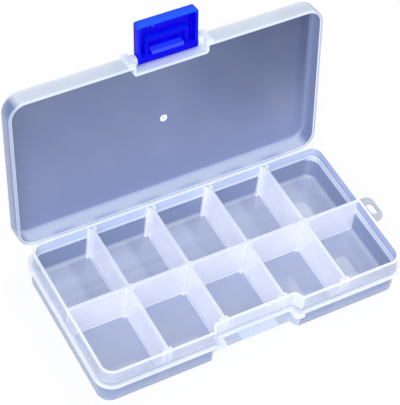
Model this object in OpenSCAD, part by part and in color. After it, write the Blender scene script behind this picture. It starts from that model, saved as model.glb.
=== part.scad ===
// Small compartment box for beads: a tray with ten compartments, eight lift-out dividers,
// one hinged lid over all of them and a snap latch on the lid. Drawn with the lid open.
// The origin is at the middle of the tray's underside, +X runs along the box to the hang tab,
// +Y to the hinge and +Z up. Sizes are in millimetres and angles in degrees.

/* [Box] */
// Length over the lid and the flange
box_l = 130; // [100:1:180]
// Width over the lid and the flange, front to back
box_w = 67.4; // [56:0.2:100]
// Height of the tray's rim above the table
tray_h = 18.3; // [16:0.1:30]
// Height of the flange's upper face, which carries the closed lid
flange_z = 11.6; // [9.5:0.1:14]
// Thickness of the flange
flange_t = 1.2; // [0.8:0.1:2]
// Thickness of the tray's walls
wall_t = 1.1; // [0.8:0.1:1.6]
// Thickness of the tray's floor
floor_t = 1.2; // [0.8:0.1:2]
// Corner radius of the lid and the flange, seen from above
corner_r = 7; // [5:0.5:12]
// Rounding of the tray's bottom edge
foot_r = 1.2; // [0.4:0.1:2]

/* [Lid] */
// Thickness of the lid's skirt
skirt_t = 1.2; // [0.8:0.1:1.8]
// Thickness of the lid's panel
panel_t = 1.2; // [0.8:0.1:2]
// Least clearance between the tray's rim and the closed lid's skirt
rim_least = 0.5; // [0.4:0.05:0.8]
// Least clearance between the rim and the skirt's edge as the lid swings past it
swing_gap = 0.12; // [0.1:0.01:0.3]
// Clearance between the flange and the closed lid's edge
seat_gap = 0.15; // [0.1:0.05:0.4]
// Clearance between the rim and the closed lid's panel
head_gap = 0.3; // [0.2:0.05:0.8]
// Rounding of the lid's upper edge
lid_edge_r = 1.8; // [0.8:0.1:3]
// Angle from closed at which the lid stands on its stop
lid_open = 100; // [92:1:110]
// Diameter of the moulding mark in the middle of the panel
gate_d = 1.8; // [1:0.1:3]

/* [Compartments] */
// Number of compartments along each row
columns = 5; // [5]
// Thickness of the wall between the two rows
mid_wall_t = 1.2; // [0.8:0.1:2]
// Thickness of a divider
divider_t = 1.2; // [0.8:0.1:2]
// How far the dividers stay below the rim
divider_drop = 0.1; // [0:0.1:3]
// Radius of a divider's lower outer corner
divider_r = 2; // [1.6:0.1:4]
// Radius of a divider's upper outer corner
divider_top_r = 1.4; // [0.6:0.1:3]
// Clearance on each side of a divider between its guides
slot_gap = 0.15; // [0.1:0.05:0.3]
// Clearance at each end of a divider
end_gap = 0.25; // [0.15:0.05:0.5]
// Thickness of a guide rib
guide_t = 1.1; // [0.8:0.1:1.6]
// How far a guide rib stands out of its wall
guide_out = 1.6; // [1:0.1:3]
// How far the guide ribs stay below the rim
guide_drop = 0.8; // [0.4:0.1:3]
// Fillet between the tray's floor and its outer walls
floor_r = 1.4; // [0.5:0.1:1.5]

/* [Hinge] */
// Length of the hinge bar
hinge_l = 100; // [60:1:100]
// Number of clips that hold the bar
clips = 5; // [3:1:6]
// Width of a clip
clip_w = 8; // [5:0.5:9]
// Diameter of the hinge bar
bar_d = 2.2; // [1.8:0.1:2.4]
// Radial clearance of the bar in its clips
bar_gap = 0.05; // [0.03:0.01:0.1]
// Thickness of a clip's wall
clip_wall = 1.05; // [0.8:0.05:1.4]
// Distance of the hinge axis behind the lid's skirt
hinge_out = 1.3; // [1.25:0.05:2]
// Depth of the hinge axis below the flange's upper face
hinge_down = 0.4; // [0.2:0.05:0.8]
// Side clearance between a clip and the webs beside it
web_gap = 0.3; // [0.2:0.05:0.6]
// Clearance at the lid's stop
stop_gap = 0.1; // [0.05:0.05:0.2]

/* [Latch] */
// Width of the latch's plate
latch_w = 24.6; // [18:0.2:26]
// Depth of the latch, front to back
latch_t = 4.1; // [3.8:0.1:4.3]
// Thickness of the latch's plate and its edges
latch_wall = 1.1; // [0.9:0.1:1.3]
// Height of the closed latch's lower end above the table
latch_foot = 1.1; // [0.8:0.1:2]
// Depth of the latch's axis below the lid's upper face
latch_axis_down = 3.3; // [3:0.1:4]
// Distance of the latch's axis behind the front of the skirt
latch_axis_in = 0.7; // [0.5:0.1:0.9]
// Radius of the latch's barrel
barrel_r = 2.1; // [1.9:0.1:2.2]
// Diameter of the latch's pins
pin_d = 1.8; // [1.4:0.1:2]
// Length of a pin outside the latch's end
pin_l = 2.6; // [2:0.1:3]
// Radial clearance of the pins in the lid's bosses
pin_gap = 0.06; // [0.03:0.01:0.1]
// Thickness of the boss around a pin
boss_wall = 1.1; // [0.8:0.1:1.2]
// Width of the lid's notch beyond each end of the latch
notch_side = 2.1; // [1.6:0.1:3]
// Depth of the tray's pocket for the latch
pocket_depth = 3.3; // [3:0.1:3.6]
// Width of the tray's pocket beyond each side of the lid's notch
pocket_side = 2.2; // [2:0.1:3]
// How much wider each side of the pocket is at the front
pocket_flare = 1.8; // [0:0.1:2.4]
// Radius of the ears beside the latch
ear_r = 2.2; // [1.8:0.1:2.4]
// How far the ears stand out in front of the skirt
ear_out = 1.3; // [0.8:0.1:1.6]
// Width of the catch tongue on the tray
tongue_w = 15.2; // [8:0.2:17]
// Height of the tongue's underside above the table
tongue_z = 9.6; // [7:0.1:10]
// Clearance between the tongue and the latch's catch rib
catch_gap = 0.2; // [0.15:0.05:0.4]
// Height of the catch rib above the plate
catch_out = 2; // [1.5:0.1:2.2]
// Thickness of the catch rib
catch_t = 1.2; // [0.8:0.1:1.6]
// Thickness of the two cheeks beside the tongue
cheek_t = 0.8; // [0.6:0.1:1.2]
// Side clearance of the tongue between the cheeks, and of the latch between the bosses
side_gap = 0.3; // [0.2:0.05:0.5]

/* [Hang tab] */
// How far the tab stands out of the flange
tab_out = 7; // [5:0.5:10]
// Length of the tab along the flange
tab_l = 12; // [8:0.5:20]
// Place of the tab's middle, front to back
tab_y = -1.5; // [-15:0.5:15]
// Length of the slot in the tab
slot_l = 5.6; // [4:0.2:8]
// Width of the slot in the tab
slot_w = 3; // [2:0.1:4]
// Width of the tab's outer band beside the slot
tab_band = 1.2; // [0.8:0.1:2]

/* [Hidden] */
$fn = 64;
eps = 0.01;

// Clearance that the swinging skirt needs: its edge turns about the hinge past the rim's top.
// It is rounded up to a twentieth of a millimetre.
swing_arm = box_w + hinge_out - skirt_t;
swing_low = seat_gap + hinge_down;
swing_top = tray_h - flange_z + hinge_down;
swing_need = swing_arm - sqrt(swing_arm * swing_arm + swing_low * swing_low - swing_top * swing_top);
rim_gap = max(rim_least, ceil(20 * (swing_gap + swing_need)) / 20);
notch_half = latch_w / 2 + notch_side;
pocket_half = notch_half + pocket_side;

// Plan sizes of the tray, inside the flange that the closed lid's skirt stands on
proud = skirt_t + rim_gap;
rim_l = box_l - 2 * proud;
rim_w = box_w - 2 * proud;
rim_r = corner_r - proud;
inner_l = rim_l - 2 * wall_t;
inner_w = rim_w - 2 * wall_t;
inner_r = rim_r - wall_t;
inner_h = tray_h - floor_t;

// Levels of the closed lid
skirt_z = flange_z + seat_gap;
panel_z = tray_h + head_gap;
lid_top_z = panel_z + panel_t;

// Compartments, all equally wide between faces
clear_l = (inner_l - (columns - 1) * divider_t) / columns;
pitch = clear_l + divider_t;
row_l = (inner_w - mid_wall_t) / 2;
divider_h = tray_h - divider_drop - floor_t;

// Latch pocket, from the front of the rim to its back wall
pocket_y = -rim_w / 2 + pocket_depth;
notch_y = pocket_y - proud;

// Hinge axis of the lid, and axis of the latch when the lid is closed
hinge_y = box_w / 2 + hinge_out;
hinge_z = flange_z - hinge_down;
bar_r = bar_d / 2;
clip_r = bar_r + bar_gap;
latch_y = -box_w / 2 + latch_axis_in;
latch_z = lid_top_z - latch_axis_down;
latch_open = 90;
stop_play = 0.05;

// Bosses, from beside the latch's end to inside the notch's side walls
boss_in = latch_w / 2 + side_gap;
boss_out = notch_half + 0.5;

// Catch rib, just under the tongue when the latch is down
plate_y = latch_y - barrel_r;
plate_in = plate_y + latch_wall;
catch_z = tongue_z - catch_gap;
catch_w = tongue_w + 2 * (side_gap + cheek_t);
tongue_tip = plate_in + catch_gap;

function divider_x(i) = (i - (columns - 1) / 2 - 0.5) * pitch;

// Rounded rectangle in the plane, about the origin
module plan(l, w, r) {
    square([l - 2 * r, w], center = true);
    square([l, w - 2 * r], center = true);
    for (sx = [-1, 1], sy = [-1, 1])
        translate([sx * (l / 2 - r), sy * (w / 2 - r)])
            circle(r);
}

// Upright section with its two lower corners rounded
module cradle(w, h, r) {
    translate([-w / 2, r])
        square([w, h - r]);
    translate([-w / 2 + r, 0])
        square([w - 2 * r, h]);
    for (s = [-1, 1])
        translate([s * (w / 2 - r), r])
            circle(r);
}

// Carries a section in the plane to the YZ plane and extrudes it along X, about the middle
module along_x(l) {
    rotate([90, 0, 90])
        linear_extrude(l, center = true)
            children();
}

// Block with rounded upright corners and a rounded lower edge
module tub(l, w, h, r, e) {
    intersection() {
        linear_extrude(h)
            plan(l, w, r);
        along_x(l + 1)
            cradle(w, h, e);
        rotate([90, 0, 0])
            linear_extrude(w + 1, center = true)
                cradle(l, h, e);
    }
}

// Plan of the latch pocket: grow moves its faces out into the tray
module pocket_plan(grow) {
    back = pocket_half + grow;
    front = back + pocket_flare;
    y1 = pocket_y + grow;
    y0 = -rim_w / 2;
    slope = pocket_flare / pocket_depth;
    far = y0 - box_w;
    polygon([[-back, y1], [back, y1], [front, y0 + grow], [front, far], [-front, far], [-front, y0 + grow]]);
}

// Plan of the ears beside the latch
module ear_plan() {
    for (s = [-1, 1])
        translate([s * (notch_half + ear_r), -box_w / 2 + ear_r - ear_out])
            circle(ear_r);
}

// Plan of the flange, with the notch for the latch
module flange_plan() {
    difference() {
        plan(box_l, box_w, corner_r);
        translate([-notch_half, -box_w])
            square([2 * notch_half, box_w + notch_y]);
    }
    ear_plan();
}

// Hang tab: two round corners and a slot near its outer edge
module tab_plan() {
    r = tab_out / 2;
    difference() {
        union() {
            translate([-proud, -tab_l / 2])
                square([proud + tab_out - r, tab_l]);
            translate([-proud, -tab_l / 2 + r])
                square([proud + tab_out, tab_l - 2 * r]);
            for (s = [-1, 1])
                translate([tab_out - r, s * (tab_l / 2 - r)])
                    circle(r);
        }
        translate([tab_out - tab_band - slot_w / 2, 0]) {
            square([slot_w, slot_l - slot_w], center = true);
            for (s = [-1, 1])
                translate([0, s * (slot_l - slot_w) / 2])
                    circle(slot_w / 2);
        }
    }
}

// Section of one hinge clip about the axis: a hook, cut back to let the lid's skirt pass
module clip_section() {
    r = clip_r + clip_wall;
    reach = hinge_out - stop_gap;
    grip = 180 - lid_open - acos(reach / (clip_r + clip_wall / 4));
    difference() {
        circle(r);
        circle(clip_r);
        translate([-2 * r, 0])
            square([2 * r, 2 * r]);
        rotate(grip)
            square([2 * r, 2 * r]);
        rotate(-lid_open)
            translate([-reach - 10, -10])
                square([10, 20]);
    }
}

// Section of the bracket under a clip, from the tray's wall to under the bar
module bracket_section() {
    reach = hinge_y - rim_w / 2;
    difference() {
        translate([-reach - eps, -clip_r - clip_wall])
            square([reach + eps, clip_wall + clip_r]);
        circle(clip_r);
    }
}

module clip_row() {
    step = (hinge_l - clip_w) / clips;
    for (i = [0 : clips - 1])
        translate([(i - (clips - 1) / 2) * step, hinge_y, hinge_z])
            along_x(clip_w)
                children();
}

// Section of the tray's catch tongue, from the pocket wall to its tip
module tongue_section() {
    tip_t = 0.7;
    polygon([[pocket_y + eps, tongue_z], [pocket_y + eps, flange_z], [notch_y, flange_z - 0.1],
             [tongue_tip, tongue_z + tip_t], [tongue_tip, tongue_z]]);
}

// One pair of guide ribs at x = 0, standing on a wall whose face is at y and looks along way
module guide_pair(y, way) {
    h = inner_h - guide_drop;
    side = divider_t / 2 + slot_gap;
    for (s = [-1, 1])
        translate([s * (side + guide_t / 2) - guide_t / 2, y - (way < 0 ? guide_out : eps), floor_t - eps])
            cube([guide_t, guide_out + eps, h]);
}

module tray() {
    color([0.80, 0.85, 0.96, 0.55]) {
        difference() {
            tub(rim_l, rim_w, tray_h, rim_r, foot_r);
            translate([0, 0, floor_t])
                difference() {
                    tub(inner_l, inner_w, tray_h, inner_r, floor_r);
                    translate([0, 0, -eps])
                        linear_extrude(tray_h + 1)
                            pocket_plan(wall_t);
                }
            translate([0, 0, -eps])
                linear_extrude(tray_h + 1)
                    pocket_plan(0);
        }
        // wall between the two rows
        translate([-inner_l / 2 - eps, -mid_wall_t / 2, floor_t - eps])
            cube([inner_l + 2 * eps, mid_wall_t, inner_h + eps]);
        // flange, hang tab and catch tongue
        translate([0, 0, flange_z - flange_t])
            linear_extrude(flange_t) {
                difference() {
                    flange_plan();
                    plan(rim_l - wall_t, rim_w - wall_t, rim_r - wall_t / 2);
                }
                intersection() {
                    flange_plan();
                    pocket_plan(wall_t / 2);
                }
                translate([box_l / 2, tab_y])
                    tab_plan();
            }
        along_x(tongue_w)
            tongue_section();
        // hinge clips and their brackets
        clip_row()
            clip_section();
        clip_row()
            bracket_section();
        // guides for the dividers
        for (i = [1 : columns - 1])
            translate([divider_x(i), 0, 0]) {
                guide_pair(inner_w / 2, -1);
                guide_pair(mid_wall_t / 2, 1);
                guide_pair(-mid_wall_t / 2, -1);
                guide_pair(abs(divider_x(i)) < pocket_half + wall_t ? pocket_y + wall_t : -inner_w / 2, 1);
            }
    }
}

// Turns a part of the closed lid about the hinge to the standing lid
module opened() {
    translate([0, hinge_y, hinge_z])
        rotate([-lid_open, 0, 0])
            translate([0, -hinge_y, -hinge_z])
                children();
}

// Section of a web between the lid's skirt and the hinge bar, about the axis
module web_section() {
    low = seat_gap + hinge_down;
    back = -hinge_out - skirt_t / 2;
    polygon([[back, low], [-0.8 * bar_r, low], [-0.4 * bar_r, 0], [0.8 * bar_r, 0.5 * bar_r],
             [-hinge_out, 3 * bar_r], [back, 3 * bar_r]]);
}

// Lid without its bosses and hinge bar
module lid_shell() {
    h = lid_top_z - skirt_z;
    inner_d = panel_z - skirt_z;
    difference() {
        union() {
            translate([0, 0, lid_top_z])
                mirror([0, 0, 1])
                    tub(box_l, box_w, h, corner_r, lid_edge_r);
            translate([0, 0, skirt_z])
                linear_extrude(h - 0.4)
                    ear_plan();
        }
        // notch for the latch
        translate([-notch_half, -box_w, skirt_z - 1])
            cube([2 * notch_half, box_w + notch_y, h + 2]);
        // hollow inside, leaving the notch's own walls
        difference() {
            translate([0, 0, panel_z])
                mirror([0, 0, 1])
                    tub(box_l - 2 * skirt_t, box_w - 2 * skirt_t, inner_d + 1, corner_r - skirt_t,
                        max(lid_edge_r - panel_t, 0.3));
            translate([-notch_half - skirt_t, -box_w, skirt_z - 2])
                cube([2 * (notch_half + skirt_t), box_w + notch_y + skirt_t, h + 4]);
        }
    }
}

module closed_lid() {
    difference() {
        union() {
            lid_shell();
            // bosses for the latch's pins
            for (s = [-1, 1])
                translate([s * (boss_in + boss_out) / 2, latch_y, latch_z])
                    along_x(boss_out - boss_in)
                        circle(pin_d / 2 + pin_gap + boss_wall);
        }
        for (s = [-1, 1])
            translate([s * (boss_in + pin_l / 2), latch_y, latch_z])
                along_x(pin_l + 0.2)
                    circle(pin_d / 2 + pin_gap);
    }
    // hinge bar and its webs
    translate([0, hinge_y, hinge_z]) {
        along_x(hinge_l)
            circle(bar_r);
        difference() {
            along_x(hinge_l)
                web_section();
            for (i = [0 : clips - 1])
                translate([(i - (clips - 1) / 2) * (hinge_l - clip_w) / clips, 0, 0])
                    cube([clip_w + 2 * web_gap, 20, 20], center = true);
        }
    }
    // moulding mark under the panel
    translate([0, 0, panel_z - 0.15])
        cylinder(d = gate_d, h = 0.15 + eps);
}

module lid() {
    color([0.72, 0.78, 0.92, 0.55])
        opened()
            closed_lid();
}

// The latch hangs down from its axis when closed: outer plate, edges, barrel, catch and pins
module closed_latch() {
    half = latch_w / 2;
    foot = latch_foot;
    top = latch_z + (notch_y - latch_y) - stop_play;
    difference() {
        union() {
            translate([-half, plate_y, foot])
                cube([latch_w, latch_wall, top - foot]);
            translate([-half, plate_y, foot])
                cube([latch_w, latch_t, latch_z - foot]);
            translate([0, latch_y, latch_z])
                rotate([0, 90, 0])
                    cylinder(r = barrel_r, h = latch_w, center = true);
        }
        // hollow between the edges
        translate([-half + latch_wall, plate_in, foot + latch_wall])
            cube([latch_w - 2 * latch_wall, latch_t, latch_z - barrel_r - foot - latch_wall]);
        // bevel on the outer lower edge
        translate([0, plate_y, foot])
            rotate([45, 0, 0])
                cube([latch_w + 1, 0.9, 0.9], center = true);
    }
    // catch rib under the tongue
    translate([-catch_w / 2, plate_in - eps, catch_z - catch_t])
        cube([catch_w, catch_out, catch_t]);
    // cheeks from the catch rib to the barrel
    for (s = [-1, 1])
        translate([s * (catch_w - cheek_t) / 2 - cheek_t / 2, plate_in - eps, catch_z - catch_t])
            cube([cheek_t, catch_out, latch_z - barrel_r - catch_z + catch_t + eps]);
    // pins
    translate([0, latch_y, latch_z])
        rotate([0, 90, 0])
            cylinder(d = pin_d, h = latch_w + 2 * pin_l, center = true);
}

module latch() {
    color([0.05, 0.10, 0.90])
        opened()
            translate([0, latch_y, latch_z])
                rotate([-latch_open, 0, 0])
                    translate([0, -latch_y, -latch_z])
                        closed_latch();
}

// One divider in the YZ plane: near is its end at the middle wall, far its end at the outer wall
module divider(i, row) {
    pocketed = row < 0 && abs(divider_x(i)) < pocket_half + wall_t;
    far = (pocketed ? -pocket_y - wall_t : inner_w / 2) - end_gap;
    near = mid_wall_t / 2 + end_gap;
    low_r = pocketed ? eps : divider_r;
    color([0.86, 0.89, 0.98, 0.6])
        translate([divider_x(i), 0, floor_t])
            mirror([0, row < 0 ? 1 : 0, 0])
                along_x(divider_t) {
                    translate([near, 0])
                        square([far - near - divider_r, divider_h]);
                    translate([near, divider_r])
                        square([far - near, divider_h - divider_r - divider_top_r]);
                    translate([near, divider_h - 2 * divider_top_r])
                        square([far - near - divider_top_r, 2 * divider_top_r]);
                    translate([far - divider_r, divider_r])
                        circle(divider_r);
                    translate([far - divider_top_r, divider_h - divider_top_r])
                        circle(divider_top_r);
                }
}

module divider_back_1() { divider(1, 1); }
module divider_back_2() { divider(2, 1); }
module divider_back_3() { divider(3, 1); }
module divider_back_4() { divider(4, 1); }
module divider_front_1() { divider(1, -1); }
module divider_front_2() { divider(2, -1); }
module divider_front_3() { divider(3, -1); }
module divider_front_4() { divider(4, -1); }

tray();
lid();
latch();
divider_back_1();
divider_back_2();
divider_back_3();
divider_back_4();
divider_front_1();
divider_front_2();
divider_front_3();
divider_front_4();
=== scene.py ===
# %% [markdown]
# # A small bead box, piece by piece
# The object is a clear box with ten compartments, eight lift-out dividers, one hinged lid and a
# blue snap latch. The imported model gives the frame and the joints. Here every part gets a body
# with the small roundings of a moulding, and a finish that reads as clear or milky plastic.

# %% Load the frame
import math

import bmesh
import bpy
import numpy as np
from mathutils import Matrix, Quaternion, Vector


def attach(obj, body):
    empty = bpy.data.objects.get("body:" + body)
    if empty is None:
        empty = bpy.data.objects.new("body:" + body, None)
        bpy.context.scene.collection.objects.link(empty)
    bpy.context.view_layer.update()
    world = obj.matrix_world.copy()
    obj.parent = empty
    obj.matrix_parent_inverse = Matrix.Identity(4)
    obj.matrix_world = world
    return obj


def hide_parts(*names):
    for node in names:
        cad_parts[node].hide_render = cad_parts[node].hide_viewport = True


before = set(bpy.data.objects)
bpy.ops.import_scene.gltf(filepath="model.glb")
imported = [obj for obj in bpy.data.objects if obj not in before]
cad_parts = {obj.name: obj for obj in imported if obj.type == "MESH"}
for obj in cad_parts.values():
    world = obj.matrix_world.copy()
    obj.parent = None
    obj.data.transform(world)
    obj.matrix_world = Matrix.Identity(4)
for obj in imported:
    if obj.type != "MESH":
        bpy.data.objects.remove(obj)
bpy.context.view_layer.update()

# %% [markdown]
# ## Sizes
# The part's source isn't read here, so the sizes that the pieces share are written again, in
# millimetres.

# %% Shared sizes in millimetres
MM = 0.001
BOX = np.array([65.0, 33.7])          # half length and half width over the lid and the flange
RIM = np.array([63.3, 32.0])          # the same over the tray's rim
WALL, FLOOR = 1.1, 1.2                # thickness of the tray's walls and of its floor
TRAY_H = 18.3                         # height of the rim
FLANGE = (10.4, 11.6)                 # lower and upper face of the flange
SKIRT = 1.2                           # thickness of the lid's skirt and panel
SKIRT_Z, PANEL_Z, LID_Z = 11.75, 18.6, 19.8
NOTCH, NOTCH_Y = 14.4, -30.4          # half width and back of the lid's notch
POCKET, POCKET_FRONT, POCKET_Y = 16.6, 18.4, -28.7
DIVIDERS = (-37.68, -12.56, 12.56, 37.68)
DIVIDER_T, DIVIDER_TOP = 1.2, 18.2
HINGE = (35.0, 11.2)                  # y and z of the lid's axis
LID_OPEN = -100.0
LATCH_AXIS = (-33.0, 16.5)            # y and z of the latch's axis while the lid is closed
LATCH_OPEN = -90.0
PLATE = (-35.1, -34.0)                # outer and inner face of the latch's plate
LATCH_X = 12.3

# %% [markdown]
# ## How every piece is made
# A moulded part is walls of even thickness with a small radius on each edge. All of them come from
# one recipe: a closed outline is carried along a short profile. The outline gives the plan, and
# the profile says how far the wall stands in from it and how high it is at each step. Both have
# rounded corners, so highlights run along the edges as they do on the real box.

# %% Rounded corners of a polygon


def rounded(points, radii, facets):
    """Arcs at the corners of a closed polygon, as an array (corner, point, 2).

    An arc of radius r at a corner that turns by a starts r * tan(a / 2) before the corner. Its
    points are the centre plus the first spoke turned by 0 ... a. One more point lies on each
    side, just past the arc, so that the shading stays flat on the flat faces.
    """
    p = np.asarray(points, float)
    leg = np.roll(p, -1, 0) - p
    length = np.linalg.norm(leg, axis=1)
    after = leg / length[:, None]
    before = np.roll(after, 1, 0)
    short = np.minimum(length, np.roll(length, 1))
    turn = np.arctan2(before[:, 0] * after[:, 1] - before[:, 1] * after[:, 0], (before * after).sum(1))
    half = np.abs(np.tan(turn / 2))
    reach = np.minimum(np.asarray(radii, float) * half, 0.42 * short)
    radius = np.where(half > 1e-6, reach / np.maximum(half, 1e-6), 0.0) * np.sign(turn)
    normal = np.stack([-before[:, 1], before[:, 0]], 1)
    spoke = -normal * radius[:, None]
    start = p - before * reach[:, None]
    angle = turn[:, None] * np.linspace(0, 1, facets + 1)
    cos, sin = np.cos(angle), np.sin(angle)
    x, y = spoke[:, :1], spoke[:, 1:]
    arc = (start - spoke)[:, None] + np.stack([x * cos - y * sin, x * sin + y * cos], -1)
    pad = np.minimum(0.08, 0.05 * short)[:, None]
    first = (start - before * pad)[:, None]
    last = (p + after * (reach[:, None] + pad))[:, None]
    return np.concatenate([first, arc, last], 1)


def outline(points, radii, inset=0.0, facets=8):
    """Closed path inside a polygon that runs anticlockwise, in from it by inset.

    Each corner moves along its mitre, p + inset * (n1 + n2) / (1 + n1 . n2), where n1 and n2 are
    the inward normals of its two sides. A convex corner's radius shrinks by the inset and a
    hollow corner's grows by it, so the wall stays even.
    """
    p = np.asarray(points, float)
    leg = np.roll(p, -1, 0) - p
    leg /= np.linalg.norm(leg, axis=1)[:, None]
    n2 = np.stack([-leg[:, 1], leg[:, 0]], 1)
    n1 = np.roll(n2, 1, 0)
    before = np.roll(leg, 1, 0)
    hollow = (before[:, 0] * leg[:, 1] - before[:, 1] * leg[:, 0]) < 0
    p = p + inset * (n1 + n2) / (1 + (n1 * n2).sum(1))[:, None]
    r = np.asarray(radii, float) * np.ones(len(p))
    r = np.maximum(np.where(hollow, r + inset, r - inset), 0.06)
    return rounded(p, r, facets).reshape(-1, 2)


print("a square of side 2 with radius 0.5:", outline([(-1, -1), (1, -1), (1, 1), (-1, 1)], 0.5).shape)

# %% A profile: how the wall runs from its first ring to its last


def step(inset, height, radius=0.0, glow=0.0, then=0.0, zone=0.0):
    """One corner of a profile. glow is its light edge, then and zone belong to the face after it."""
    return inset, height, radius, glow, then, zone


def across(inset, start, end, edge, glow, then=0.0, zone=0.0):
    """Four steps from one flat side of a part to the other, with the same rounding at both."""
    return [
        step(inset, start, zone=zone), step(0, start, edge, glow, then, zone),
        step(0, end, edge, glow, zone=zone), step(inset, end),
    ]


def profile(steps, facets=4):
    """Rows of (inset, height, glow, zone) along a profile with rounded corners.

    The end points stay as they are. Inner corners become arcs that carry the corner's glow, and
    the zone runs evenly from the face before to the face after.
    """
    s = np.array(steps, float)
    bends = rounded(s[:, :2], s[:, 2], facets)[1:-1]
    count = facets + 3
    glow = np.repeat(s[1:-1, 3:4], count, 1)
    glow[:, 0], glow[:, -1] = s[:-2, 4], s[1:-1, 4]
    share = np.linspace(0, 1, count)
    zone = s[:-2, 5:6] * (1 - share) + s[1:-1, 5:6] * share
    inner = np.concatenate([bends, glow[..., None], zone[..., None]], 2).reshape(-1, 4)
    first = [s[0, 0], s[0, 1], s[0, 4], s[0, 5]]
    last = [s[-1, 0], s[-1, 1], s[-2, 4], s[-2, 5]]
    return np.vstack([first, inner, last])


# %% [markdown]
# ## From rings to a mesh
# Rings of equal length make a grid of four-sided faces. A shell ends in a flat face at both ends,
# and a loop, such as a flange round a hole, joins its last ring to its first. Each vertex keeps
# two numbers for the finish: glow, which is 1 on the edges where clear plastic gathers light,
# and zone, which says which side of the moulding a face belongs to.

# %% Rings, skins and meshes

AXES = {"xy": (0, 1, 2), "yz": (2, 0, 1), "xz": (0, 2, 1)}


def stack(points, radii, steps, plane="xy", facets=8, corner_glow=0.0, side_glow=0.0, bend=4):
    """Skin of a closed outline carried along a profile: ring k is outline(inset k) at height k.

    plane names the two axes of the outline; the height runs along the third. Every corner of
    the outline, and the side after it, has a glow of its own on the wall, which wins where it is
    stronger than the profile's.
    """
    rows = profile(steps, bend)
    rings = [outline(points, radii, row[0], facets) for row in rows]
    uvw = np.stack([np.column_stack([ring, np.full(len(ring), row[1])]) for ring, row in zip(rings, rows)])
    own = np.asarray(corner_glow, float) * np.ones(len(points))
    along = np.repeat(own[:, None], facets + 3, 1)
    along[:, -1] = side_glow
    along[:, 0] = np.roll(along[:, -1], 1)
    on_wall = np.abs(rows[:, :1]) < 1.25
    glow = np.maximum(rows[:, 2:3], along.reshape(1, -1) * on_wall)
    zone = np.repeat(rows[:, 3:4], uvw.shape[1], 1)
    return uvw[..., AXES[plane]], glow, zone, False


def loop_of(*parts):
    """One skin from several that follow each other, with the last ring joined to the first."""
    return tuple(np.concatenate([part[i] for part in parts]) for i in range(3)) + (True,)


def turned(v, angle, about):
    """Vertices turned by angle degrees about a line along X through (y, z) = about."""
    c, s = math.cos(math.radians(angle)), math.sin(math.radians(angle))
    y, z = v[..., 1] - about[0], v[..., 2] - about[1]
    return np.stack([v[..., 0], y * c - z * s + about[0], y * s + z * c + about[1]], -1)


def on_tray(v):
    return v


def on_lid(v):
    """From the closed lid to the lid as it stands in the photograph."""
    return turned(v, LID_OPEN, HINGE)


def on_latch(v):
    """The latch is turned about its own axis first, and then goes with the lid."""
    return on_lid(turned(v, LATCH_OPEN, LATCH_AXIS))


def faces_of(rings, points, start, closed):
    """Four-sided faces between neighbouring rings, and the two end faces of an open stack."""
    ring = np.arange(rings if closed else rings - 1)[:, None]
    point = np.arange(points)[None]
    a = start + ring * points + point
    b = start + ring * points + (point + 1) % points
    c = start + (ring + 1) % rings * points + (point + 1) % points
    d = start + (ring + 1) % rings * points + point
    quads = np.stack([a, b, c, d], -1).reshape(-1, 4).tolist()
    if closed:
        return quads
    last = start + (rings - 1) * points
    return quads + [list(range(start + points - 1, start - 1, -1)), list(range(last, last + points))]


wall_rows = profile([step(0, 0), step(0, 2, 0.2), step(1, 2, 0.2), step(1, 0)])
print("a profile over a wall 1 mm thick:", wall_rows.shape)

# %% One piece: mesh, finish and body

PIECES = {}


def piece(name, skins, finish, body, node, place=on_tray):
    """Makes the mesh of one piece from its skins, ties it to its body and hides its CAD node."""
    points, faces, glow, zone, start = [], [], [], [], 0
    for skin in skins:
        v, g, zn, closed = skin
        rings, count = v.shape[:2]
        faces += faces_of(rings, count, start, closed)
        points.append(place(v.reshape(-1, 3)) * MM)
        glow.append(g.ravel())
        zone.append(zn.ravel())
        start += rings * count
    mesh = bpy.data.meshes.new(name)
    mesh.from_pydata(np.concatenate(points), [], faces)
    for label, values in (("glow", glow), ("zone", zone)):
        layer = mesh.attributes.new(label, "FLOAT", "POINT")
        layer.data.foreach_set("value", np.concatenate(values).astype(np.float32))
    work = bmesh.new()
    work.from_mesh(mesh)
    bmesh.ops.remove_doubles(work, verts=work.verts, dist=2e-6)
    bmesh.ops.dissolve_degenerate(work, edges=work.edges, dist=1e-6)
    bmesh.ops.recalc_face_normals(work, faces=work.faces)
    if work.calc_volume(signed=True) < 0:
        bmesh.ops.reverse_faces(work, faces=work.faces)
    loose = sum(not edge.is_manifold for edge in work.edges)
    work.to_mesh(mesh)
    work.free()
    mesh.shade_smooth()
    mesh.materials.append(finish)
    obj = bpy.data.objects.new(name, mesh)
    bpy.context.scene.collection.objects.link(obj)
    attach(obj, body)
    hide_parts(node)
    PIECES[name] = obj
    print(f"{name}: {len(mesh.polygons)} faces, {loose} open edges")
    return obj


# %% [markdown]
# ## Shader maths
# Shader arithmetic is easier to read as Python. A Wire holds one output socket, and adding or
# multiplying wires adds the Math nodes. A Finish is one material with its main shader.

# %% Wires and finishes


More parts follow.
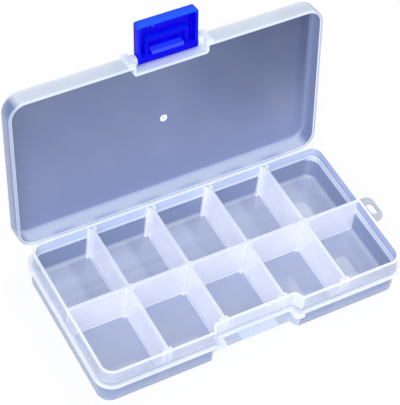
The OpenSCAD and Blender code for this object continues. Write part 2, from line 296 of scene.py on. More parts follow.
class Wire:
    """An output socket on which + - * and / add Math nodes."""

    def __init__(self, finish, socket):
        self.finish, self.socket = finish, socket

    def maths(self, operation, *values):
        sockets = dict(enumerate(values))
        return self.finish.node("ShaderNodeMath", {"operation": operation}, sockets)

    def __add__(self, other):
        return self.maths("ADD", self, other)

    def __sub__(self, other):
        return self.maths("SUBTRACT", self, other)

    def __rsub__(self, other):
        return self.maths("SUBTRACT", other, self)

    def __mul__(self, other):
        return self.maths("MULTIPLY", self, other)

    def __truediv__(self, other):
        return self.maths("DIVIDE", self, other)

    __radd__, __rmul__ = __add__, __mul__

    def between(self, low, high):
        """0 below low, 1 above high and even in between."""
        return self.finish.node(
            "ShaderNodeMapRange", {"clamp": True}, {"Value": self, "From Min": low, "From Max": high}
        )

    def near(self, centre, half, soft):
        """1 within half of centre, 0 from half + soft away."""
        return self.maths("ABSOLUTE", self - centre).between(half + soft, half)


class Finish:
    """One material: its node tree, its Principled shader and its nodes by one method."""

    def __init__(self, name, **constants):
        self.material = bpy.data.materials.new(name)
        self.material.use_nodes = True
        self.tree = self.material.node_tree
        self.shader = self.tree.nodes["Principled BSDF"]
        for label, value in constants.items():
            self.shader.inputs[label.replace("_", " ")].default_value = value

    def plug(self, socket, value):
        if isinstance(value, Wire):
            self.tree.links.new(value.socket, socket)
        elif hasattr(socket.default_value, "__len__") and len(socket.default_value) == 4:
            socket.default_value = tuple(value)[:3] + (1.0,)
        else:
            socket.default_value = value

    def node(self, kind, settings=None, sockets=None, out=0):
        """A node of one kind: settings first, then values or wires on its sockets."""
        made = self.tree.nodes.new(kind)
        for label, value in (settings or {}).items():
            setattr(made, label, value)
        for label, value in (sockets or {}).items():
            self.plug(made.inputs[label], value)
        return Wire(self, made.outputs[out])

    def mix(self, share, first, second):
        """Colour that runs from first to second as share goes from 0 to 1."""
        return self.node("ShaderNodeMix", {"data_type": "RGBA"}, {0: share, 6: first, 7: second}, out=2)

    def times(self, first, second):
        """Two colours multiplied."""
        settings = {"data_type": "RGBA", "blend_type": "MULTIPLY"}
        return self.node("ShaderNodeMix", settings, {0: 1.0, 6: first, 7: second}, out=2)

    def attribute(self, name):
        return self.node("ShaderNodeAttribute", {"attribute_name": name}, out="Fac")

    def place(self):
        return self.node("ShaderNodeTexCoord", out="Object")

    def split(self, vector):
        made = self.node("ShaderNodeSeparateXYZ", sockets={0: vector})
        outputs = made.socket.node.outputs
        return [Wire(self, outputs[i]) for i in range(3)]

    def noise(self, vector, scale, detail=2.0, roughness=0.5):
        return self.node(
            "ShaderNodeTexNoise", None,
            {"Vector": vector, "Scale": scale, "Detail": detail, "Roughness": roughness},
        )

    def feed(self, **wires):
        for label, value in wires.items():
            self.plug(self.shader.inputs[label.replace("_", " ")], value)


# %% [markdown]
# ## Clear and milky plastic
# The box is clear polypropylene. Where the eye looks through a wall it sees a grey blue depth,
# and where the plastic ends, at a rim or a rib, the light that ran inside it comes out and draws
# a pale line; that line is painted light, a pale edge colour with a faint glow. Each finish is
# therefore built up in coats: every coat has a mask, a paint and a density, which is how much of
# what lies behind it hides. Some coats paint light and shade too. The masks are the zone of the
# moulding, from its outside to its floor, and heights and distances in millimetres. Faint flow
# marks change the density, a slow waviness bends the reflections, and fine scratches change the gloss.

# %% Coats of clear plastic


class Coats:
    """Paint and density of clear plastic, built up from a ground coat."""

    def __init__(self, finish, paint, density):
        self.finish, self.paint, self.density = finish, paint, density

    def over(self, mask, paint, density):
        """One more coat: the paint and the density take over where the mask is 1."""
        self.paint = self.finish.mix(mask, self.paint, paint)
        self.density = mask * (density - self.density) + self.density


VEIL = 0.35                            # share of its density that clear plastic keeps for shadow rays
COAT = 0.3                             # weight of the gloss coat, before gloss is added
FLOW_SCALE, CLOUD_SCALE = 55.0, 240.0  # flow marks about 18 mm long, and clouds of about 4 mm
FLOW_DENSITY = 0.10                    # how much the flow marks change the density
SCRATCH_TURN, SCRATCH_SCALE = (0.2, 0.1, 0.6), (140.0, 2600.0, 900.0)
BUMP_STRENGTH, BUMP_HEIGHT = 0.5, 0.00003


def clear_finish(name, layers, edge_paint, edge_density=0.92, gloss=0.5, body_glow=0.0, lift=0.04, shine=0.5):
    """Clear plastic: layers lays the coats, and glow leads from them to the painted light of the edges.

    gloss is what the coat gains on the floor's side. The body's and the edges' glow shares are
    painted glow, emission that stands in for light scattered inside the plastic and at its edges.
    Clear walls cast pale shadows, so shadow rays meet less density.
    """
    f = Finish(
        name, IOR=1.5, Coat_IOR=1.75, Coat_Roughness=0.03, Emission_Strength=1.0,
        Specular_IOR_Level=shine,
    )
    place = f.place()
    x, y, z = (axis / MM for axis in f.split(place))
    zone = f.attribute("zone")
    coats, glow = layers(f, x, y, z, zone, f.attribute("glow"))
    flow = f.noise(place, FLOW_SCALE, 3.0, 0.55)
    cloud = f.noise(place, CLOUD_SCALE, 2.0)
    tint = f.mix(flow.between(0.35, 0.65), (0.93, 0.94, 0.97), (1.0, 1.0, 1.0))
    stretch = f.node(
        "ShaderNodeMapping", None,
        {"Vector": place, "Rotation": SCRATCH_TURN, "Scale": SCRATCH_SCALE},
    )
    scratch = f.noise(stretch, 1.0, 3.0, 0.6).between(0.62, 0.72)
    for_light = f.node("ShaderNodeLightPath", out="Is Shadow Ray")
    body = f.times(coats.paint, tint)
    density = coats.density + (flow - 0.5) * FLOW_DENSITY
    f.feed(
        # Where glow is high the colour turns to the edge paint: painted light along rims and ribs.
        Base_Color=f.mix(glow, body, edge_paint),
        Alpha=(density * (1 - glow) + glow * edge_density) * (1 - for_light * (1 - VEIL)),
        Roughness=0.10 + scratch * 0.14 + cloud * 0.08,
        Coat_Weight=zone.between(2, 3) * gloss + COAT,
        # Emission is painted glow: a share of the body's colour, and a share of the edge paint on the
        # light edges.
        Emission_Color=f.mix(glow, f.times(body, (body_glow,) * 3), tuple(lift * c for c in edge_paint)),
        Normal=f.node(
            "ShaderNodeBump", None,
            {"Strength": BUMP_STRENGTH, "Distance": BUMP_HEIGHT,
             "Height": flow + cloud * 0.4 + scratch * 0.05},
        ),
    )
    return f.material


# %% The tray's finish
# The far walls, right and rear, are painted darker inside: painted shade. On them the flange's root
# shows through as two pale lines, painted light, and above it the rear wall is painted pale, because
# the hinge stands behind it.
ROOT_LINES = (11.5, 13.4)
PITCH = 25.12                          # from one divider to the next
ROW_START = 62.8                       # half the length of a row of compartments


def tray_layers(f, x, y, z, zone, glow):
    outer, inner, ground = (zone.between(i, i + 1) for i in range(3))
    coats = Coats(f, (0.50, 0.56, 0.76), 0.45)
    # The outer wall is painted dark below the flange and pale above it, fading over 3 mm: painted shade
    # under the flange and painted light above.
    coats.over(outer, (0.21, 0.29, 0.50), 0.71)
    above = z.between(FLANGE[1], FLANGE[1] + 0.3)
    painted_light_fade = z.between(FLANGE[1] + 0.3, FLANGE[1] + 3)
    coats.over(outer * above, f.mix(painted_light_fade, (0.90, 0.94, 1.0), (0.88, 0.93, 1.0)), 0.46 - painted_light_fade * 0.14)
    coats.over(inner, (0.36, 0.45, 0.72), 0.30)
    # Painted shade: the right and rear walls are darker inside. On them, painted light: a lighter upper
    # part, a pale band and two pale lines at the flange's root, and a pale rear wall above it.
    right = inner * x.between(57, 61)
    rear = inner * y.between(24, 30) * (1 - x.between(58, 62))
    coats.over(right.maths("MAXIMUM", right, rear), (0.19, 0.265, 0.48), 0.76)
    coats.over(right * z.between(14.2, 15.2), (0.33, 0.42, 0.74), 0.76)
    coats.over(right * z.near(sum(ROOT_LINES) / 2, 1.3, 0.7), (0.66, 0.73, 0.93), 0.85)
    coats.over(rear * z.between(11.6, 12.2), (0.62, 0.71, 0.95), 0.85)
    lines = right * z.near(ROOT_LINES[0], 0.25, 0.4) + right * z.near(ROOT_LINES[1], 0.25, 0.4)
    lines = lines + rear * z.near(12.8, 0.3, 0.5)
    coats.over(lines, (0.86, 0.92, 1.0), 0.92)
    # Faint bands across the back floors are painted reflections.
    painted_reflection_bands = f.noise(
        f.node(
            "ShaderNodeMapping", None,
            {"Vector": f.place(), "Rotation": (0, 0, 0.12), "Scale": (8.0, 260.0, 1.0)},
        ),
        1.0, 1.0,
    )
    cell = x.maths("FRACT", (x + ROW_START) / PITCH)
    # Painted light and shadow on the floors: lighter along the front wall and at the back, except near
    # each compartment's right divider, where its painted shadow falls.
    coats.over(ground, (0.31, 0.37, 0.57), 0.76)
    near_front = y.between(-19.0, -21.0) * cell.between(0.80, 0.74)
    coats.over(ground * near_front, (0.40, 0.48, 0.70), 0.76)
    back = ground * y.between(2, 8)
    light = cell.between(0.68, 0.56) * 0.75 + painted_reflection_bands.between(0.35, 0.65) * 0.25
    coats.over(back, f.mix(light, (0.33, 0.385, 0.57), (0.52, 0.585, 0.78)), 0.76)
    # The floors are also painted lighter towards the right end wall.
    coats.over(ground * x.between(52, 60), (0.38, 0.45, 0.67), 0.76)
    return coats, glow


def flange_layers(f, x, y, z, zone, glow):
    coats = Coats(f, (0.75, 0.82, 0.98), 0.55)
    coats.over(zone.between(0, 1), (0.66, 0.73, 0.92), 0.60)
    coats.over(zone.between(1, 2), (0.86, 0.90, 1.0), 0.78)
    # Painted shade: the flange's right end is painted darker, and its light edges are dimmed there.
    coats.over(x.between(65.2, 66.0), (0.36, 0.42, 0.55), 0.55)
    return coats, glow * (1 - x.between(65.2, 66.0) * 0.65)


# %% The lid's finish and the milky one
# The lid's panel is painted darker towards its free edge: painted shade. Its short sides look into
# the panel and are painted as deep as it is, and its long sides look out to the white and are
# painted pale: painted shade and light.


def lid_layers(f, x, y, z, zone, glow):
    outer, inner, panel = (zone.between(i, i + 1) for i in range(3))
    coats = Coats(f, (0.22, 0.28, 0.46), 0.58)
    # The skirt's outside is painted pale where it looks out to the white, and its short sides dark where
    # they look into the panel: painted light and shade.
    coats.over(outer, (0.86, 0.94, 1.0), 0.62)
    coats.over(inner, (0.50, 0.60, 0.86), 0.52)
    coats.over(outer * x.maths("ABSOLUTE", x).between(60.0, 62.5), (0.17, 0.24, 0.46), 0.74)
    # Painted shade: the panel darkens towards its free edge, and a darker patch is painted high on its
    # right half.
    deep = z.between(12, 75) * 0.75 + z.between(20, 42) * x.between(0, 40) * 0.35
    coats.over(panel, f.mix(deep, (0.20, 0.26, 0.50), (0.03, 0.06, 0.19)), 0.78)
    coats.over(panel * x.between(5, 55) * z.between(35, 85), (0.018, 0.04, 0.15), 0.88)
    return coats, glow


def milky_layers(f, x, y, z, zone, glow):
    # A pale line of painted light runs along the foot of the milky walls, just above the floor.
    painted_foot_line = z.between(2.35, 2.1)
    coats = Coats(f, (0.78, 0.80, 0.89), 0.72)
    coats.over(zone.between(0, 1), (0.62, 0.68, 0.80), 0.90)
    return coats, glow.maths("MAXIMUM", glow, painted_foot_line)


TRAY_FINISH = clear_finish("clear_tray", tray_layers, (0.86, 0.91, 1.0), lift=0.12)
FLANGE_FINISH = clear_finish("clear_flange", flange_layers, (0.84, 0.89, 1.0), lift=0.07)
LID_FINISH = clear_finish("clear_lid", lid_layers, (0.78, 0.84, 0.97), gloss=-0.2, shine=0.25)
# The milky finish glows more than the clear ones: painted light.
MILKY_FINISH = clear_finish("milky_wall", milky_layers, (0.88, 0.91, 0.98), 0.96, body_glow=0.17, lift=0.16)
print("finishes:", [m.name for m in (TRAY_FINISH, FLANGE_FINISH, LID_FINISH, MILKY_FINISH)])

# %% [markdown]
# ## Tray shell
# The tray is a shallow tub with a pocket at the front for the latch. Its outline has the four
# corners of the box and the four corners of the pocket, and the profile runs from under the
# floor, up the outside, over the rim and down to the floor inside.

# %% The tub


def box_corners(half, front=()):
    """A rectangle about the origin, anticlockwise from its front left, with extra corners in front."""
    x, y = half
    return [(-x, -y), *front, (x, -y), (x, y), (-x, y)]


pocket = [(-POCKET_FRONT, -RIM[1]), (-POCKET, POCKET_Y), (POCKET, POCKET_Y), (POCKET_FRONT, -RIM[1])]
tub = stack(
    box_corners(RIM, pocket),
    [5.3, 0.9, 0.7, 0.7, 0.9, 5.3, 5.3, 5.3],
    [
        step(3.0, 0.0, zone=0),
        step(0.0, 0.0, 1.2, glow=0.25, zone=1),
        step(0.0, TRAY_H, 0.25, glow=0.7, then=0.75, zone=1),
        step(WALL, TRAY_H, 0.2, glow=0.9, zone=2),
        step(WALL, FLOOR, 1.4, glow=0.1, zone=3),
        step(4.0, FLOOR),
    ],
    corner_glow=[0, 0.4, 0.4, 0.4, 0.4, 0, 0, 0],
    side_glow=[0, 0.35, 0.3, 0.35, 0, 0, 0, 0],
)
piece("tray_tub", [tub], TRAY_FINISH, "tray", "tray")

# %% [markdown]
# ## Flange, tab and tongue
# The closed lid stands on a flange round the tray. It has a notch for the latch with a round ear
# on each side, and the flange is a loop: its inner edge is inside the tray's wall. The hang tab is
# a loop too, round its slot. The catch tongue is a small wedge in the latch's pocket.

# %% Flange
ear = (18.7, 1.3)                      # outer side of an ear, and how far it stands out
ears = [
    (-ear[0], -BOX[1]), (-ear[0], -BOX[1] - ear[1]), (-NOTCH, -BOX[1] - ear[1]), (-NOTCH, NOTCH_Y),
    (NOTCH, NOTCH_Y), (NOTCH, -BOX[1] - ear[1]), (ear[0], -BOX[1] - ear[1]), (ear[0], -BOX[1]),
]
outer_radii = [7.0, 0.3, 1.3, 2.0, 0.5, 0.5, 2.0, 1.3, 0.3, 7.0, 7.0, 7.0]
hidden = 0.3                           # how far the flange reaches into the tray's wall
root = [
    (-18.9, -RIM[1] + hidden), (-18.5, -RIM[1] + hidden), (-18.2, -RIM[1] + hidden),
    (-16.4, POCKET_Y + hidden), (16.4, POCKET_Y + hidden),
    (18.2, -RIM[1] + hidden), (18.5, -RIM[1] + hidden), (18.9, -RIM[1] + hidden),
]
low, top = FLANGE
rim_in = box_corners(RIM - hidden, root)
root_radii = [5.0] + [0.2] * 8 + [5.0] * 3
flange = loop_of(
    stack(
        box_corners(BOX, ears), outer_radii,
        [step(0.5, top, then=0.0, zone=2), step(0.0, top, 0.2, glow=0.7, then=0.5, zone=1),
         step(0.0, low, 0.25, glow=0.3, zone=1), step(0.5, low)],
    ),
    stack(
        rim_in, root_radii,
        [step(0.0, low, zone=1), step(0.0, 0.5 * (low + top), 0.01, zone=2), step(0.0, top)],
    ),
)
piece("tray_flange", [flange], FLANGE_FINISH, "tray", "tray")

# %% Hang tab and tongue
tab = [(64.5, -7.5), (72.0, -7.5), (72.0, 4.5), (64.5, 4.5)]
slot_hole = [(67.8, -4.3), (70.8, -4.3), (70.8, 1.3), (67.8, 1.3)]
hang_tab = loop_of(
    stack(tab, [0.3, 3.5, 3.5, 0.3], across(0.6, top, low, 0.3, 0.7, 0.5, 1)),
    stack(slot_hole, 1.5, across(-0.4, low, top, 0.25, 0.7, 0.5, 1)),
)
piece("tray_hang_tab", [hang_tab], FLANGE_FINISH, "tray", "tray")


def slab(points, radii, low_side, high_side, plane, edge=0.2, glow=1.0, zone=0.0, inset=1.0, face=0.0,
         rim=None):
    """A flat plate with a rounded edge all round, between two heights along its third axis.

    face is the glow of its flat sides, and rim is the glow of the narrow side between them.
    """
    rim = glow if rim is None else rim
    return stack(
        points, radii,
        [step(inset, low_side, then=face, zone=zone),
         step(0, low_side, edge, glow=glow, then=rim, zone=zone + 1),
         step(0, high_side, edge, glow=glow, then=face, zone=zone),
         step(inset, high_side, zone=zone)],
        plane,
    )


tongue = slab(
    [(-33.8, 9.6), (-28.5, 9.6), (-28.5, 11.45), (-30.4, 11.4), (-33.8, 10.3)], 0.15, -7.6, 7.6, "yz",
    edge=0.15, glow=0.5, zone=0, inset=0.25, rim=0.0,
)
piece("tray_tongue", [tongue], FLANGE_FINISH, "tray", "tray")

# %% [markdown]
# ## Middle wall and guides
# One wall parts the two rows, and pairs of ribs hold the ends of the dividers. The real wall and
# dividers look milky, because they show both faces at once, so they have a finish of their own.
# The photograph hardly shows the ribs at the middle wall, so they stand out less than the others.

# %% Middle wall
middle = slab(
    [(-62.5, 0.9), (62.5, 0.9), (62.5, TRAY_H - 0.02), (-62.5, TRAY_H - 0.02)], 0.2, -0.6, 0.6, "xz",
    edge=0.15, glow=0.5, inset=2.0, rim=0.0,
)
piece("tray_middle_wall", [middle], MILKY_FINISH, "tray", "tray")

# %% Guide ribs
GUIDE_OUT, GUIDE_T, GUIDE_TOP = 1.6, 1.1, TRAY_H - 0.8
MIDDLE_OUT = 1.0                       # how far the ribs at the middle wall stand out
MIDDLE_Y = 0.6                         # half the middle wall's thickness
side = DIVIDER_T / 2 + 0.15            # from the divider's middle to the rib beside it


def rib(x, y, way, edge, cap, out):
    """One rib whose root is in the wall at y and which stands out along way."""
    a, b = sorted((y - way * 0.15, y + way * out))
    corners = [(x, a), (x + GUIDE_T, a), (x + GUIDE_T, b), (x, b)]
    return stack(
        corners, 0.45,
        [step(0.3, FLOOR - 0.2), step(0, FLOOR - 0.2, 0.05, glow=edge, then=edge),
         step(0, GUIDE_TOP, 0.25, glow=cap, then=cap, zone=cap), step(0.3, GUIDE_TOP, zone=cap)],
        facets=3, bend=3,
    )


ribs = []
for x in DIVIDERS:
    front = POCKET_Y + WALL if abs(x) < POCKET + WALL else -RIM[1] + WALL
    for y, way, edge, cap, out in (
        (RIM[1] - WALL, -1, 0.4, 0.4, GUIDE_OUT),
        (MIDDLE_Y, 1, 0, 0, MIDDLE_OUT),
        (-MIDDLE_Y, -1, 0, 0, MIDDLE_OUT),
        (front, 1, 0.2, 0.3, GUIDE_OUT),
    ):
        ribs += [rib(x + side, y, way, edge, cap, out), rib(x - side - GUIDE_T, y, way, edge, cap, out)]
piece("tray_guide_ribs", ribs, MILKY_FINISH, "tray", "tray")

# %% [markdown]
# ## Dividers
# Eight plates stand between the guides. Each is a flat plate with its outer lower corner rounded
# to pass the tray's fillet and its outer upper corner rounded for the fingers.

# %% Dividers
DIVIDER_NEAR = 0.85                    # from the tray's middle to the divider's inner end
DIVIDER_GAP = 0.25                     # from the divider's outer end to the wall
for row, sign in (("back", 1), ("front", -1)):
    for number, x in enumerate(DIVIDERS, 1):
        pocketed = sign < 0 and abs(x) < POCKET + WALL
        far = (-POCKET_Y if pocketed else RIM[1]) - WALL - DIVIDER_GAP
        radii = [0.3, 0.3 if pocketed else 2.0, 1.4, 0.3]
        corners = [
            (DIVIDER_NEAR, FLOOR), (far, FLOOR), (far, DIVIDER_TOP), (DIVIDER_NEAR, DIVIDER_TOP),
        ]
        if sign < 0:
            corners = [(-u, v) for u, v in corners][::-1]
            radii = radii[::-1]
        plate = slab(
            corners, radii, x - DIVIDER_T / 2, x + DIVIDER_T / 2, "yz",
            edge=0.15, glow=0.5, inset=2.5, rim=0.0,
        )
        name = f"divider_{row}_{number}"
        piece(f"{name}_plate", [plate], MILKY_FINISH, name, name)

# %% [markdown]
# ## Hinge
# Five hooks on the tray hold a round bar on the lid. The hook's section is an outer arc and an
# inner arc about the bar, with a bracket to the wall, and it is cut so that the lid's skirt can pass.

# %% Hinge hooks


def arc(radius, start, end, count):
    """Points on a circle about the axis, from one angle to another in degrees."""
    a = np.radians(np.linspace(start, end, count))
    return np.stack([radius * np.cos(a), radius * np.sin(a)], 1)


HOOK_X = (-36.8, -18.4, 0.0, 18.4, 36.8)
HOOK_HALF, HOOK_EDGE = 4.0, 0.12       # half a hook's length, and the bevel at its ends
wall_at = RIM[1] - HINGE[0] - 0.2
hook = np.concatenate([
    [(wall_at, 0.0)],
    arc(1.15, -180, 48.2, 25),
    [(1.4125 * math.cos(math.radians(48.2)), 1.4125 * math.sin(math.radians(48.2)))],
    arc(2.2, 23.0, -90, 15),
    [(wall_at, -2.2)],
])[::-1] + np.array(HINGE)
hooks = [
    stack(
        hook, 0.02,
        [step(HOOK_EDGE, x - HOOK_HALF, zone=1),
         step(0, x - HOOK_HALF + HOOK_EDGE, 0.02, glow=0.5, zone=1),
         step(0, x + HOOK_HALF - HOOK_EDGE, 0.02, glow=0.5, zone=1),
         step(HOOK_EDGE, x + HOOK_HALF)],
        "yz", facets=1, bend=1,
    )
    for x in HOOK_X
]
piece("tray_hinge_hooks", hooks, TRAY_FINISH, "tray", "tray")

# %% [markdown]
# ## Lid
# The lid is modelled closed and then turned about the hinge. Its shell is a shallow tub with the
# latch's notch in front. Two lugs stand beside the notch, two bosses hold the latch's pins, and
# webs carry the hinge bar.

# %% Lid shell and lugs
notch = [(-NOTCH, -BOX[1]), (-NOTCH, NOTCH_Y), (NOTCH, NOTCH_Y), (NOTCH, -BOX[1])]
lid = stack(
    box_corners(BOX, notch), [7.0, 0.8, 0.4, 0.4, 0.8, 7.0, 7.0, 7.0],
    [
        step(4.0, LID_Z, zone=0),
        step(0.0, LID_Z, 1.8, glow=0.75, zone=1),
        step(0.0, SKIRT_Z, 0.3, glow=0.5, then=0.5, zone=1),
        step(SKIRT, SKIRT_Z, 0.25, glow=1.0, zone=2),
        step(SKIRT, PANEL_Z, 0.9, glow=0.0, zone=3),
        step(4.5, PANEL_Z),
    ],
    corner_glow=[0, 0.6, 0.8, 0.8, 0.6, 0, 0, 0],
    side_glow=[0, 0.6, 0.5, 0.6, 0, 0, 0, 0],
)
lugs = []
for s in (-1, 1):
    x0, x1 = sorted((s * (NOTCH + 0.03), s * 17.5))
    radii = [1.0, 1.9, 0.1, 0.1] if s > 0 else [1.9, 1.0, 0.1, 0.1]
    lugs.append(stack(
        [(x0, -35.0), (x1, -35.0), (x1, -33.0), (x0, -33.0)], radii,
        [step(0.8, SKIRT_Z + 0.05, zone=1),
         step(0, SKIRT_Z + 0.05, 0.3, glow=0.8, then=0.5, zone=1),
         step(0, 19.3, 0.7, glow=0.6, zone=1), step(0.8, 19.3)],
    ))
piece("lid_shell", [lid], LID_FINISH, "lid", "lid", on_lid)
piece("lid_lugs", lugs, LID_FINISH, "lid", "lid", on_lid)

# %% Bosses, hinge bar, webs and moulding mark


def rod(radius, about, *sides):
    """A round rod or hole along X about (y, z) = about; sides go to across."""
    y, z = about
    square = [(y - radius, z - radius), (y + radius, z - radius),
              (y + radius, z + radius), (y - radius, z + radius)]
    return stack(square, radius - 0.01, across(*sides), "yz")


BOSS_X = (12.6, 14.9)                  # inner and outer end of a boss
BAR_X = 50.0                           # half the length of the hinge bar
bosses = []
for s in (-1, 1):
    a, b = sorted((s * BOSS_X[0], s * BOSS_X[1]))
    bosses.append(loop_of(
        rod(2.06, LATCH_AXIS, 0.5, a, b, 0.25, 0.9, 0.6, 1),
        rod(0.96, LATCH_AXIS, -0.3, b, a, 0.1, 0.6, 0.0, 1),
    ))
bar = rod(1.1, HINGE, 0.5, -BAR_X, BAR_X, 0.25, 0.8, 0.35, 1)
web_points = [(-1.9, 0.55), (-0.88, 0.55), (-0.44, 0.0), (0.88, 0.55), (-1.3, 3.3), (-1.9, 3.3)]
web_points = [(y + HINGE[0], z + HINGE[1]) for y, z in web_points]
webs = [
    slab(web_points, 0.1, a, b, "yz", edge=0.12, glow=0.7, zone=1, inset=0.2)
    for a, b in ((-50, -41.1), (-32.5, -22.7), (-14.1, -4.3), (4.3, 14.1), (22.7, 32.5), (41.1, 50))
]
mark = stack(
    [(-1.45, -1.45), (1.45, -1.45), (1.45, 1.45), (-1.45, 1.45)], 1.44,
    [step(0.2, PANEL_Z + 0.1, then=1), step(0, PANEL_Z + 0.1, 0.02, glow=1, then=1),
     step(0, PANEL_Z - 0.15, 0.08, glow=1, then=1), step(0.8, PANEL_Z - 0.15, 0.06, glow=1, then=0.6),
     step(0.9, PANEL_Z - 0.08, 0.03, glow=0.2, then=0.2), step(1.2, PANEL_Z - 0.08)],
)
piece("lid_bosses", bosses, LID_FINISH, "lid", "lid", on_lid)
piece("lid_hinge_bar", [bar], LID_FINISH, "lid", "lid", on_lid)
piece("lid_hinge_webs", webs, LID_FINISH, "lid", "lid", on_lid)
piece("lid_moulding_mark", [mark], MILKY_FINISH, "lid", "lid", on_lid)

# %% [markdown]
# ## Latch
# The latch is a small open box of opaque blue plastic on two pins. Its outside is a smooth plate,
# and its hollow side has a catch rib with two cheeks, a ledge and a moulding mark. The blue
# is deep, and the end that the fingers lift looks lighter, because light gets through it.

# %% The blue finish


def blue_finish():
    f = Finish(
        "blue_latch", IOR=1.45, Specular_IOR_Level=0.05, Coat_Weight=0.02, Coat_Roughness=0.06,
        Emission_Strength=1.0,
    )
    place = f.place()
    glow = f.attribute("glow")
    z = f.split(place)[2]
    tip = z.between(91.0 * MM, 92.6 * MM)
    cloud = f.noise(place, 320.0, 3.0, 0.55)
    grain = f.noise(place, 2400.0, 2.0)
    deep = f.mix(cloud.between(0.35, 0.65), (0.002, 0.0, 0.52), (0.003, 0.002, 0.62))
    # Painted highlights: edges turn lighter blue where glow is high, and the lightest blue where it is
    # near 1.
    edges = f.mix(glow.between(0, 0.65), deep, (0.003, 0.02, 0.70))
    light = f.mix(glow.between(0.65, 1.0), edges, (0.04, 0.085, 0.85))
    f.feed(
        Base_Color=f.mix(tip, light, (0.016, 0.10, 0.80)),
        # The latch glows at a quarter of its deep blue: painted glow that lifts its shaded faces.
        Emission_Color=f.times(deep, (0.25, 0.25, 0.25)),
        Roughness=0.20 + cloud * 0.12 + grain * 0.08,
        Normal=f.node(
            "ShaderNodeBump", None,
            {"Strength": 0.35, "Distance": 0.00002, "Height": grain + cloud},
        ),
    )
    return f.material


BLUE_FINISH = blue_finish()

# %% Latch shell and its small parts
LATCH_FOOT = 1.1                       # lower end of the closed latch
LATCH_DEEP = 4.1                       # from the plate's outside to the rim of the hollow
PIN_X = 14.9
latch_plan = [
    (-LATCH_X, LATCH_FOOT), (LATCH_X, LATCH_FOOT),
    (LATCH_X, LATCH_AXIS[1]), (-LATCH_X, LATCH_AXIS[1]),
]
shell = stack(
    latch_plan, [1.0, 1.0, 0.3, 0.3],
    [
        step(3.0, PLATE[0], zone=0),
        step(0.0, PLATE[0], 0.6, glow=0.15, zone=1),
        step(0.0, PLATE[0] + LATCH_DEEP, 0.2, glow=0.5, then=0.25, zone=1),
        step(1.1, PLATE[0] + LATCH_DEEP, 0.2, glow=0.5, zone=2),
        step(1.1, PLATE[1], 0.3, zone=3),
        step(3.0, PLATE[1]),
    ],
    "xz",
)


def plate_part(x0, x1, z0, z1, radius, start, height, edge, glow, inset, face=0.0):
    """A rectangular plate on the latch's inner face, from start to height above that face."""
    corners = [(x0, z0), (x1, z0), (x1, z1), (x0, z1)]
    return slab(
        corners, radius, PLATE[1] + start, PLATE[1] + height, "xz",
        edge=edge, glow=glow, inset=inset, face=face,
    )


heel_down = PLATE[0] + 0.02 - PLATE[1]  # the heel is as thick as the latch's plate
heel = plate_part(-12.28, 12.28, 15.9, 19.05, 0.3, heel_down, 0.0, 0.3, 0.2, 1.0)
barrel = rod(2.1, LATCH_AXIS, 0.8, -LATCH_X, LATCH_X, 0.3, 0.4)
pins = rod(0.9, LATCH_AXIS, 0.4, -PIN_X, PIN_X, 0.2, 0.3)
catch = plate_part(-8.7, 8.7, 8.2, 9.4, 0.2, -0.2, 2.0, 0.25, 0.5, 0.45)
cheeks = [
    plate_part(x, x + 0.8, 9.0, 14.9, 0.15, -0.2, 1.98, 0.2, 0.3, 0.3)
    for x in (-8.69, 7.89)
]
# The ledge's flat faces carry full glow, so they are painted in the lightest blue: a painted highlight.
ledge = plate_part(-6.5, 6.5, 13.6, 16.0, 0.2, -0.2, 2.75, 0.2, 0.9, 0.4, 1.0)
# The moulding mark is a real small bump; its lighter colour is a painted highlight.
dot = stack(
    [(-5.4, 4.2), (-4.4, 4.2), (-4.4, 5.2), (-5.4, 5.2)], 0.49,
    [step(0.2, PLATE[1] - 0.1, zone=0),
     step(0, PLATE[1] - 0.1, 0.02, glow=0.8, then=0.8, zone=0),
     step(0, PLATE[1] + 0.2, 0.15, glow=0.9, then=0.9, zone=0),
     step(0.3, PLATE[1] + 0.2)],
    "xz",
)
piece("latch_shell", [shell, heel, barrel, pins], BLUE_FINISH, "latch", "latch", on_latch)
piece("latch_catch", [catch, *cheeks, ledge, dot], BLUE_FINISH, "latch", "latch", on_latch)

# %% [markdown]
# ## Camera
# The camera was found by fitting the box's corners to the photograph: a long lens, high up at the
# front left, and turned a little about its own axis.

# %% Camera
LENS, ROLL = 147.46, 8.585             # millimetres and degrees
camera_data = bpy.data.cameras.new("camera")
camera = bpy.data.objects.new("camera", camera_data)
bpy.context.scene.collection.objects.link(camera)
bpy.context.scene.camera = camera
camera_data.sensor_width = 36
camera_data.lens = LENS
camera_data.clip_end = 10
eye = Vector((-0.2313, -0.3098, 0.5041))
aim = Vector((0.0143, 0.0368, 0.0))
camera.location = eye
camera.rotation_mode = "QUATERNION"
looking = (aim - eye).to_track_quat("-Z", "Y")
camera.rotation_quaternion = looking @ Quaternion((0, 0, 1), math.radians(ROLL))
print("camera is", round((aim - eye).length, 3), "m from the box")

# %% [markdown]
# ## Floor, world and lamps
# The photograph was cut out on white. A white floor keeps a soft shadow, and the world is plain
# white where the camera or a reflection looks at it. The light on the box itself is gentle: an even
# sky, and a wide lamp from the camera's side, which lights the faces that look that way.

# %% Floor
FLOOR_HALF, FLOOR_Z = 3, -0.0002       # metres; just below the box
FLOOR_WHITE = 0.82                     # share of plain white where the camera looks at the floor
floor_mesh = bpy.data.meshes.new("floor")
floor_mesh.from_pydata(
    [(u * FLOOR_HALF, v * FLOOR_HALF, FLOOR_Z) for u, v in ((-1, -1), (1, -1), (1, 1), (-1, 1))],
    [], [(0, 1, 2, 3)],
)
floor = bpy.data.objects.new("floor", floor_mesh)
bpy.context.scene.collection.objects.link(floor)


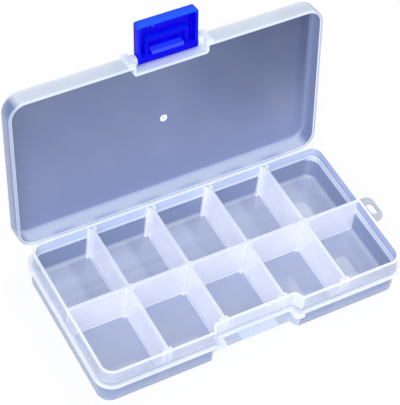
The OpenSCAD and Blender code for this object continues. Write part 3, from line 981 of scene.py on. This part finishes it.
def seen_directly(tree):
    """1 for the rays of the camera, of reflections and of clear plastic, and 0 for the light on things."""
    path = tree.nodes.new("ShaderNodeLightPath")
    total = path.outputs["Is Camera Ray"]
    for label in ("Is Glossy Ray", "Is Transmission Ray"):
        either = tree.nodes.new("ShaderNodeMath")
        either.operation = "MAXIMUM"
        tree.links.new(total, either.inputs[0])
        tree.links.new(path.outputs[label], either.inputs[1])
        total = either.outputs[0]
    return total


floor_finish = Finish("floor", Base_Color=(0.95, 0.95, 0.955, 1), Roughness=0.9, Specular_IOR_Level=0.0)
tree = floor_finish.tree
share = Wire(floor_finish, seen_directly(tree)) * FLOOR_WHITE
white = tree.nodes.new("ShaderNodeEmission")
white.inputs["Color"].default_value = (1, 1, 1, 1)
blend = tree.nodes.new("ShaderNodeMixShader")
tree.links.new(share.socket, blend.inputs[0])
tree.links.new(floor_finish.shader.outputs[0], blend.inputs[1])
tree.links.new(white.outputs[0], blend.inputs[2])
tree.links.new(blend.outputs[0], tree.nodes["Material Output"].inputs["Surface"])
floor_mesh.materials.append(floor_finish.material)

# %% World and lamps
SKY = 0.50                             # strength of the sky as light on things
world = bpy.data.worlds.new("studio")
bpy.context.scene.world = world
world.use_nodes = True
sky = world.node_tree.nodes["Background"]
sky.inputs["Color"].default_value = (1, 1, 1, 1)
level = world.node_tree.nodes.new("ShaderNodeMapRange")
level.inputs["To Min"].default_value = SKY
level.inputs["To Max"].default_value = 1.0
world.node_tree.links.new(seen_directly(world.node_tree), level.inputs["Value"])
world.node_tree.links.new(level.outputs[0], sky.inputs["Strength"])


def lamp(name, energy, towards, angle):
    """A wide sun that shines from the given direction."""
    data = bpy.data.lights.new(name, "SUN")
    data.energy = energy
    data.angle = math.radians(angle)
    obj = bpy.data.objects.new(name, data)
    obj.rotation_mode = "QUATERNION"
    obj.rotation_quaternion = Vector(towards).to_track_quat("Z", "Y")
    bpy.context.scene.collection.objects.link(obj)
    return obj


lamp("key", 2.2, (-0.55, -0.62, 0.60), 50)
lamp("fill", 0.9, (0.75, 0.2, 0.70), 50)
bpy.context.scene.view_settings.view_transform = "Standard"
